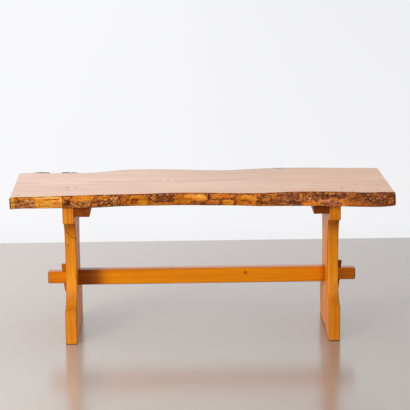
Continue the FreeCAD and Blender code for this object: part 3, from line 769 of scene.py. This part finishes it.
def bark_plates(x, height, size, seed):
    """Cells of cracked bark: how near the border between two is, and the cell's own number."""
    long, high, other = size
    seed += other
    warp = wave(x, height, 60, 95, seed + 5)
    warp_up = wave(x, height, 45, 75, seed + 9)
    cell = Vector((x / long + warp * 0.6, height / high + warp_up * 0.5 + x * 6, seed))
    distances, points = noise.voronoi(cell)
    return distances[1] - distances[0], noise.cell(points[0] * 5.3 + Vector((9, 2, 4)))


patches = [[number / unit for number, unit in zip(row, PATCH_UNITS)] for row in FRONT_PATCHES]
cracks = [
    ((x / 1000, level / 100), (end_x / 1000, end_level / 100), width)
    for x, level, end_x, end_level, width in FRONT_CRACKS
]


def front_bark(x, height):
    """The masks of the front edge's own patches and cracks."""
    share = height / EDGE_HEIGHT
    shift = wave(x, height, 70, 150, 11) * 0.0045
    shift_up = wave(x, height, 60, 160, 17) * 0.10
    shift += wave(x, height, 300, 500, 13) * 0.0012
    bare, tone, red, dark = 0.55, 0.5, 0.25, 0.0
    for middle, level, half, half_level, is_bare, is_pale, is_red, rim in patches:
        if abs(x - middle) > half + 0.008:
            continue
        across = abs(x + shift - middle) / half
        up = abs(share + shift_up - level) / half_level
        reach = (across ** 3 + up ** 3) ** (1 / 3)
        inside = 1 - smooth(0.86, 1.04, reach)
        bare = blend(bare, is_bare, inside)
        tone = blend(tone, is_pale, inside)
        red = blend(red, is_red, inside)
        dark = blend(dark, 0.0, inside)
        edge = 1 - smooth(0.0, 0.0012, abs(reach - 1) * min(half, half_level * EDGE_HEIGHT))
        dark = max(dark, edge * rim)
    for start, end, width in cracks:
        if not min(start[0], end[0]) - 0.006 < x < max(start[0], end[0]) + 0.006:
            continue
        wobble = wave(x, height, 170, 230, 3) * 0.0014
        off = abs(near_segment(x, height, start, end) + wobble)
        dark = max(dark, 1 - smooth(width * 0.35 * MM, width * 0.8 * MM, off))
    return bare, tone, red, dark


def bark(x, share, side):
    """Depth in millimetres below the plank's outline, and the masks bare, dark, tone and red."""
    seed = 0.0 if side == "front" else 40.0
    height = share * EDGE_HEIGHT
    broad = wave(x, height, 20, 110, seed + 2)
    hole = halo = 0.0
    if side == "front":
        bare, tone, red, dark = front_bark(x, height)
        hole_x, hole_share = KNOT_HOLE
        off = math.hypot((x - hole_x) / 0.95, (share - hole_share) * EDGE_HEIGHT)
        off += wave(x, height, 120, 150, 23) * 0.003
        hole = 0.8 * (1 - smooth(*HOLE_REACH, off))
        halo = 1 - smooth(*HALO_REACH, off)
    else:
        patch = wave(x, height, 9, 45, seed + 6)
        bare = smooth(-0.16, 0.16, patch + 0.5 * broad)
        tone = 0.5 + broad * 0.4
        red = smooth(-0.1, 0.4, wave(x, height, 13, 30, seed + 8)) * 0.6
        dark = 0.0
    bare *= 1 - halo
    border, plate = bark_plates(x, height, PLATES, seed)
    small_border, small_plate = bark_plates(x, height, SMALL_PLATES, seed)
    long_border, long_plate = bark_plates(x, height, LONG_PLATES, seed)
    broken = 1 - smooth(0.015, 0.10, border)
    crazed = 1 - smooth(0.01, 0.12, small_border)
    split = 1 - smooth(0.012, 0.05, long_border)
    bark_dark = max(broken * 0.7, crazed * 0.5 * smooth(-0.4, 0.3, broad))
    bare_dark = max(split * 0.5, crazed * 0.22) * (1 - 0.65 * smooth(0.8, 0.93, tone))
    dark = max(dark, blend(bark_dark, bare_dark, bare), hole, halo * 0.35)
    lumps = noise.fractal(Vector((x * 150, height * 220, seed)), 0.8, 2.1, 4)
    swell = wave(x, height, 14, 30, seed + 1)
    depth = 1.1 + swell * 0.8
    depth += max(dark, 0.0) * blend(1.7, 0.9, bare)
    depth += hole * 4.5
    depth -= (1 - bare) * (lumps * 0.9 + 0.7 + (plate - 0.5) * 1.1)
    mottle = wave(x, height, 170, 260, seed + 21)
    mixed = (plate - 0.5) * 0.16 + (small_plate - 0.5) * 0.55 + mottle * 0.35
    tone += blend(mixed, (long_plate - 0.5) * 0.2 + mottle * 0.2, bare)
    tone += broad * 0.10
    dark = max(dark, (1 - smooth(0.0, 0.08, share)) * 0.62)
    rim = smooth(0.88, 0.955, share) * (0.62 + 0.3 * wave(x, 0, 50, 0, seed + 4))
    dark = max(dark, rim)
    return depth, bare, min(1.0, dark), tone, red


# bark that flares out behind the seat's back edge: middle, half length and reach in millimetres of
# the two ledges, and middle and half length of the stretches where they rise nearly to the top
BACK_LEDGES = [(-0.438, 0.104, 30.0), (0.216, 0.085, 18.0)]
BACK_RISES = [(-0.487, 0.046), (-0.405, 0.018), (-0.376, 0.021), (0.216, 0.060)]
LEDGE_LOW = 0.76
LEDGE_HIGH = 0.915
LEDGE_FOOT = 0.72
LEDGE_TOP = 0.055


def back_flare(x, share):
    """How far in millimetres the back edge's bark stands out at a place on it."""
    wander = wave(x, share, 28, 1.5, 7)
    rough = noise.fractal(Vector((x * 90, share * 9, 31)), 0.9, 2.0, 4)
    reach = rise = 0.0
    for middle, half, ledge in BACK_LEDGES:
        reach += (1 - smooth(0.45, 1.0, abs(x - middle) / half + wander * 0.2)) * ledge
    for middle, half in BACK_RISES:
        rise = max(rise, 1 - smooth(0.55, 1.0, abs(x - middle) / half))
    crest = blend(LEDGE_LOW, LEDGE_HIGH, rise) + rough * 0.02 * (1 - rise)
    below = 1 - smooth(0.0, LEDGE_FOOT + wander * 0.2, crest - share)
    above = 1 - smooth(crest, crest + LEDGE_TOP, share)
    return reach * below * above * (0.92 + 0.16 * wander + 0.07 * rough + 0.1 * rise)


# the seat's mesh: columns of points along it, rows up its edges, and how wide its arrises are eased
END_ROWS = (0.0, 0.0005, 0.0014, 0.0028, 0.0046)
COLUMN_STEP = 0.00125
EDGE_ROWS = 21
ROUND_STEPS = 3
ACROSS = 9
ARRIS_ROUND = 0.0020
END_EASE = 0.0012

# probes of the CAD plank: where the sawn ends are found, and how far the rest keeps inside it
SAW_PROBES = (-0.185, 0.170)
INSIDE = 0.00004
PROBE_INSET = 0.006
PROBE_MARGIN = 0.0015
TOP_PROBE_INSET = 0.03
EDGE_MARGIN = 0.0002

# the bark at its limits: how far from a sawn end it is whole and where painted shade darkens it at
# the rounded end, its depth there and at the arrises in millimetres, and the shares of the height
# where the arrises end
SAWN_REACH = 0.005
SAWN_END_SHADE = (0.0022, 0.0048)
SAWN_DEPTH = 0.5
LEAST_DEPTH = 0.9
ARRIS_SHARES = (0.06, 0.965)


def seat_columns(half):
    """Shares of the seat's half length, close together and closest at the sawn ends."""
    inner = half - END_ROWS[-1]
    count = round(inner * 2 / COLUMN_STEP)
    middle = [-inner + inner * 2 * index / count for index in range(count + 1)]
    left = [-half + row for row in END_ROWS[:-1]]
    right_side = [half - row for row in reversed(END_ROWS[:-1])]
    return [place / half for place in left + middle + right_side]


def edge_levels(low, high):
    """Heights of a bark edge from its lower arris to its upper one, and how far each is eased."""
    bottom = low + ARRIS_ROUND
    top = high - ARRIS_ROUND
    turns = [math.pi / 2 * step / ROUND_STEPS for step in range(ROUND_STEPS + 1)]
    falls = [ARRIS_ROUND * (1 - math.cos(turn)) for turn in turns]
    rises = [ARRIS_ROUND * math.sin(turn) for turn in turns]
    eases = [ARRIS_ROUND * (1 - math.sin(turn)) for turn in turns]
    levels = [(low + fall, ease) for fall, ease in zip(falls[:-1], eases)]
    levels += [(blend(bottom, top, row / (EDGE_ROWS - 1)), 0.0) for row in range(EDGE_ROWS)]
    return levels + [(top + rise, fall) for rise, fall in zip(rises[1:], falls[1:])]


def sawn_ends(tree, z):
    """Both sawn ends as lines across the seat: distance at the frame's middle, and lean."""
    near, far = SAW_PROBES
    ends = {}
    for side in (-1, 1):
        inward = X_AXIS * -side
        hits = [tree.ray_cast(Vector((side, y, z)), inward)[0] for y in SAW_PROBES]
        at_near, at_far = (abs(hit.x) for hit in hits)
        lean = (at_far - at_near) / (far - near)
        ends[side] = (at_near - lean * near, lean)
    return ends


def live_edge_seat():
    """The seat as rings of points, one to a column, whose bark rows carry the masks."""
    source = cad_mesh("slab_top")
    tree = BVHTree.FromBMesh(source)
    seat_low, seat_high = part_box("slab_top")
    base = seat_low.z
    top = seat_high.z
    middle_z = (base + top) / 2
    ends = sawn_ends(tree, middle_z)
    limit = seat_high.y - EDGE_MARGIN
    mesh = bmesh.new()
    mask_layer = mesh.verts.layers.float_vector.new("bark")
    red_layer = mesh.verts.layers.float.new("bark_red")

    def edge_points(share_along, side, sign):
        """Places up one bark edge, with their masks, at a share of the way to the sawn end."""
        end_sign = -1 if share_along < 0 else 1
        middle_end, lean = ends[end_sign]
        from_end = middle_end * (1 - abs(share_along))
        curve = 1 - min(1.0, from_end / END_EASE)
        end_ease = END_EASE * (1 - math.sqrt(max(0.0, 1 - curve ** 2)))

        def along_at(y):
            """A column follows the sawn ends, so it leans with them."""
            return share_along * (middle_end + lean * y)

        inward = Vector((0, -sign, 0))
        start = Vector((share_along * (middle_end - PROBE_INSET), sign, middle_z))
        outline = tree.ray_cast(start, inward)[0].y
        end_here = middle_end + lean * outline
        probe_x = end_sign * min(abs(along_at(outline)), end_here - PROBE_MARGIN)
        top_x = end_sign * min(abs(share_along) * end_here, end_here - EDGE_MARGIN)
        top_x -= share_along * lean * sign * TOP_PROBE_INSET
        over = Vector((top_x, outline - sign * TOP_PROBE_INSET, top + 1))
        high = tree.ray_cast(over, -Z_AXIS)[0].z
        points = []
        for level, ease in edge_levels(base + end_ease, high):
            probe_z = min(top - INSIDE, max(base + INSIDE, min(level, high - INSIDE)))
            hit = tree.ray_cast(Vector((probe_x, sign, probe_z)), inward)[0]
            if hit:
                outline = hit.y
            x = along_at(outline)
            share = (level - base) / (top - base)
            depth, bare, dark, tone, red = bark(x, share, side)
            depth = blend(SAWN_DEPTH, depth, smooth(0.0, SAWN_REACH, from_end))
            # painted shade at the rounded sawn end
            dark = max(dark, 0.85 * (1 - smooth(*SAWN_END_SHADE, from_end)))
            if side == "back":
                flare = back_flare(x, share)
                depth -= flare
                bare *= 1 - min(1.0, flare * 0.15)
                dark = max(dark, min(0.5, flare * 0.03))
            if depth > 0:
                low_arris, high_arris = ARRIS_SHARES
                inner = smooth(0.0, low_arris, share) * (1 - smooth(high_arris, 1.0, share))
                depth = blend(min(depth, LEAST_DEPTH), depth, inner)
            y = outline - sign * (depth * MM + ease + end_ease)
            y = max(-limit, min(limit, y))
            points.append((Vector((along_at(y), y, level)), (bare, dark, tone), red))
        return points

    def bark_vertex(place, masks, red):
        vertex = mesh.verts.new(place)
        vertex[mask_layer] = masks
        vertex[red_layer] = red
        return vertex

    def across(start, end):
        return [mesh.verts.new(start.lerp(end, step / ACROSS)) for step in range(1, ACROSS)]

    rings = []
    for share_along in seat_columns(cad_high.x):
        front = edge_points(share_along, "front", -1)
        back = edge_points(share_along, "back", 1)
        ring = [bark_vertex(*point) for point in front] + across(front[-1][0], back[-1][0])
        ring += [bark_vertex(*point) for point in back[::-1]] + across(back[0][0], front[0][0])
        rings.append(ring)
    rows = EDGE_ROWS + ROUND_STEPS * 2
    bark_rows = {*range(rows - 1), *range(rows + ACROSS - 1, rows * 2 + ACROSS - 2)}
    for first, second in zip(rings, rings[1:]):
        for index, ((a, b), (c, d)) in enumerate(zip(pairs(first), pairs(second))):
            face = mesh.faces.new((a, c, d, b))
            face.material_index = int(index in bark_rows)
            face.smooth = True
    for ring in (rings[0], rings[-1][::-1]):
        cap = mesh.faces.new(ring)
        bmesh.ops.triangulate(mesh, faces=[cap], ngon_method="EAR_CLIP")
    bmesh.ops.recalc_face_normals(mesh, faces=mesh.faces)
    made = finished(mesh, "live_edge_seat")
    source.free()
    made.set_sharp_from_angle(angle=SEAT_CREASE)
    add_piece("live_edge_seat", made, ["slab_top"], [seat_wood, bark_edge])


live_edge_seat()


# Trestles, battens, rail and wedges

# how wide the arrises of each kind of piece are rubbed, and the shortest edge that is
TRESTLE_ROUNDING = (0.0005, 0.0021)
BATTEN_ROUNDING = (0.0012, 0.004)
RAIL_ROUNDING = (0.0008, 0.004)
WEDGE_ROUNDING = (0.0007, 0.001)

# the rail's ends: their side, and how far back each is rounded
TENON_ENDS = ((-1, 0.0028), (1, 0.0050))

for side, material in (("left", left_trestle_wood), ("right", right_trestle_wood)):
    board = side + "_trestle_board"
    softened(side + "_trestle", TRESTLE_ROUNDING, board, material)
for side in ("left", "right"):
    bar = side + "_batten_bar"
    softened(side + "_batten", BATTEN_ROUNDING, bar, batten_wood)
softened("stretcher_rail", RAIL_ROUNDING, "tenoned_rail", rail_wood, TENON_ENDS)
for side in ("left", "right"):
    key = side + "_tusk_wedge"
    softened(side + "_wedge", WEDGE_ROUNDING, key, wedge_wood, body=side + "_key")


# Screws

# sizes of a screw in metres, those of its thread, tip and recess, and how far its recess is turned
SCREW_SIDES = 20
HEAD_RADIUS = 0.00448
HEAD_HEIGHT = 0.0026
HEAD_TOP = 0.00012
HEAD_RIM = 0.0004
SHANK_RADIUS = 0.0023
PLAIN_RADIUS = SHANK_RADIUS * 0.8
ROOT_RADIUS = SHANK_RADIUS * 0.68
CREST_RADIUS = SHANK_RADIUS * 0.985
PLAIN_SHARE = 0.34
THREAD_PITCH = 0.0026
ROWS_TO_A_TURN = 6
TIP_LENGTH = SHANK_RADIUS * 3.2
RECESS_ARM = HEAD_RADIUS * 0.56
RECESS_HALF = HEAD_RADIUS * 0.13
RECESS_TAPER = 0.62
RECESS_DEPTH = HEAD_HEIGHT * 0.72
FIRST_TWIST = 0.4
TWIST_STEP = 1.1


def screw_rings(length):
    """Radius and height round a screw, ring by ring: head, plain shank, thread and tip."""
    plain_end = HEAD_HEIGHT + (length - HEAD_HEIGHT) * PLAIN_SHARE
    tip = length - TIP_LENGTH
    head = [(HEAD_RADIUS * 0.985, HEAD_TOP), (HEAD_RADIUS, HEAD_RIM)]
    shank = [(PLAIN_RADIUS, HEAD_HEIGHT), (PLAIN_RADIUS, plain_end)]
    rings = [[point] * SCREW_SIDES for point in head + shank]
    steps = int((tip - plain_end) / (THREAD_PITCH / ROWS_TO_A_TURN))
    for step in range(1, steps + 1):
        rise = blend(plain_end, tip, step / steps)
        ring = []
        for side in range(SCREW_SIDES):
            phase = (rise / THREAD_PITCH - side / SCREW_SIDES) % 1.0
            crest = max(0.0, 1 - abs(phase - 0.5) * 5)
            ring.append((blend(ROOT_RADIUS, CREST_RADIUS, crest), rise))
        rings.append(ring)
    for share in (0.45, 0.8):
        rings.append([(ROOT_RADIUS * (1 - share), blend(tip, length, share))] * SCREW_SIDES)
    return rings


def add_screw(mesh, length, turn):
    """One countersunk wood screw along +Z from its head, with a crossed recess and a thread."""
    made = []
    for ring in screw_rings(length):
        verts = []
        for side, (radius, rise) in enumerate(ring):
            angle = math.tau * side / SCREW_SIDES
            verts.append(mesh.verts.new((radius * math.cos(angle), radius * math.sin(angle), rise)))
        made.append(verts)
    for first, second in zip(made, made[1:]):
        for (here, following), (above, beyond) in zip(pairs(first), pairs(second)):
            mesh.faces.new((here, following, beyond, above))
    point = mesh.verts.new((0, 0, length * 0.9995))
    for here, following in pairs(made[-1]):
        mesh.faces.new((here, following, point))
    arm, half = RECESS_ARM, RECESS_HALF
    cross = [
        (arm, -half), (arm, half), (half, half), (half, arm), (-half, arm), (-half, half),
        (-arm, half), (-arm, -half), (-half, -half), (-half, -arm), (half, -arm), (half, -half),
    ]
    mouth = [mesh.verts.new((x, y, HEAD_TOP)) for x, y in cross]
    floor = [mesh.verts.new((x * RECESS_TAPER, y * RECESS_TAPER, RECESS_DEPTH)) for x, y in cross]
    for (here, following), (below, beyond) in zip(pairs(mouth), pairs(floor)):
        mesh.faces.new((here, below, beyond, following))
    mesh.faces.new(floor)
    mesh.edges.ensure_lookup_table()
    borders = [mesh.edges.get(pair) for pair in pairs(made[0]) + pairs(mouth)]
    bmesh.ops.triangle_fill(mesh, edges=borders, use_beauty=True)
    for vertex in sum(made, []) + [point] + mouth + floor:
        vertex.co = turn @ vertex.co


def screws(node, pointing, count):
    """A row of screws in the CAD row's place, spread along Y."""
    low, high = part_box(node)
    along = max(range(3), key=lambda axis: abs(pointing[axis]))
    start = (low + high) / 2
    start[along] = low[along] if pointing[along] > 0 else high[along]
    spin = pointing.to_track_quat("Z", "Y").to_matrix().to_4x4()
    mesh = bmesh.new()
    for index in range(count):
        start.y = blend(low.y + HEAD_RADIUS, high.y - HEAD_RADIUS, index / (count - 1))
        twist = Matrix.Rotation(FIRST_TWIST + index * TWIST_STEP, 4, "Z")
        add_screw(mesh, high[along] - low[along], Matrix.Translation(start) @ spin @ twist)
    bmesh.ops.recalc_face_normals(mesh, faces=mesh.faces)
    name = node + "_threaded"
    made = finished(mesh, name)
    shade(made)
    add_piece(name, made, [node], [zinc_steel])


for side, outward in (("left", -1), ("right", 1)):
    screws(side + "_batten_slab_screws", Z_AXIS, 3)
    screws(side + "_batten_trestle_screws", X_AXIS * outward, 2)


# Floor, backdrop and light

WALL_LINE = 1.146
FLOOR_REACH = 14.0
# the floor's colours, darker to the right: a painted falloff of the light from the left
FLOOR_FALLOFF_COLOURS = ((0.2, (134, 121, 110)), (0.8, (180, 168, 157)))
WHITE = srgb(248, 248, 250)
# the wall's white, a little darker to the right as a painted falloff, and the painted shade at its
# foot
WALL_LEFT = srgb(249, 249, 251)
WALL_RIGHT = srgb(240, 240, 242)
WALL_SHADE = srgb(150, 146, 142)
WALL_DIFFUSE = srgb(236, 236, 238)
WINDOW_PLACE = Vector((-2.5, -3.0, 1.75))
WINDOW_TARGET = Vector((0, 0, 0.25))
WINDOW_SIZE = (1.5, 1.3)
WINDOW_POWER = 100
WINDOW_COLOUR = (1.0, 0.985, 0.96)
SKY_COLOUR = (0.97, 0.985, 1.0, 1.0)
SKY_AT_SIDES = 0.40
SKY_OVERHEAD = 1.25
GLOSS_IN_FRONT = 0.45


def floor_material():
    """Pale polished floor, and the white wall's foot behind the bench, which fades at its sides."""
    shader = material_shader("pale_floor")
    place = shader.place()
    x, y, z = shader.split(place)
    cloud = shader.noise(place, 1.1, 3.0)
    # painted falloff of the light: the floor darkens to the right
    share = shader.scaled(x, -0.4, shader.lean(0.5, cloud, 0.12))
    fine = shader.noise(place, 240.0, 3.0)
    floor = shader.principled(
        shader.ramp(share, FLOOR_FALLOFF_COLOURS), shader.scaled(cloud, 0.06, 0.15), fine, 0.00008,
        Specular_IOR_Level=1.0, Coat_Weight=0.6, Coat_Roughness=0.2,
    )
    # the white is painted darker to the right, and painted shade darkens it near the floor line
    white = shader.mix(shader.range(x, -1.0, 1.3, soft=False), WALL_LEFT, WALL_RIGHT)
    near = shader.range(y, WALL_LINE + 0.35, WALL_LINE, 0.0, 0.045)
    glow = shader.node("Emission", (shader.mix(near, white, WALL_SHADE),)).outputs[0]
    plain = shader.node("BsdfDiffuse", (WALL_DIFFUSE,)).outputs[0]
    path = shader.node("LightPath").outputs
    seen = [path["Is " + kind + " Ray"] for kind in ("Camera", "Glossy", "Transmission")]
    sides = shader.range(shader.math("ABSOLUTE", x), 4.0, 2.2)
    beyond = shader.scaled(shader.math("GREATER_THAN", y, WALL_LINE), sides)
    return shader.finish(shader.blend(beyond, floor, shader.blend(shader.most(*seen), plain, glow)))


def add_floor():
    mesh = bpy.data.meshes.new("floor")
    signs = ((-1, -1), (1, -1), (1, 1), (-1, 1))
    corners = [(x * FLOOR_REACH, y * FLOOR_REACH, 0) for x, y in signs]
    mesh.from_pydata(corners, [], [(0, 1, 2, 3)])
    mesh.materials.append(floor_material())
    new_object("floor", mesh)


def add_window():
    """One large soft light, from the left front."""
    data = bpy.data.lights.new("window", "AREA")
    data.shape = "RECTANGLE"
    data.size, data.size_y = WINDOW_SIZE
    data.energy = WINDOW_POWER
    data.color = WINDOW_COLOUR
    lamp = new_object("window", data)
    lamp.location = WINDOW_PLACE
    lamp.rotation_mode = "QUATERNION"
    lamp.rotation_quaternion = (WINDOW_TARGET - WINDOW_PLACE).to_track_quat("-Z", "Y")


def studio_world():
    """White behind and above, dimmer in front, and brighter overhead than at the sides."""
    made = bpy.data.worlds.new("studio")
    scene.world = made
    shader = Shader(made, "OutputWorld")
    ways = shader.split(shader.node("TexCoord").outputs["Generated"])
    overhead = shader.range(ways["Z"], 0.0, 1.0, SKY_AT_SIDES, SKY_OVERHEAD, soft=False)
    behind = shader.range(ways["Y"], -0.35, 0.35, GLOSS_IN_FRONT, 1.0, soft=False)
    soft = shader.node("Background", (SKY_COLOUR, overhead)).outputs[0]
    gloss = shader.node("Background", (WHITE, behind)).outputs[0]
    plain = shader.node("Background", (WHITE,)).outputs[0]
    path = shader.node("LightPath").outputs
    shiny = shader.blend(path["Is Glossy Ray"], soft, gloss)
    shader.finish(shader.blend(path["Is Camera Ray"], shiny, plain))


add_floor()
add_window()
studio_world()

scene.view_settings.view_transform = "Standard"
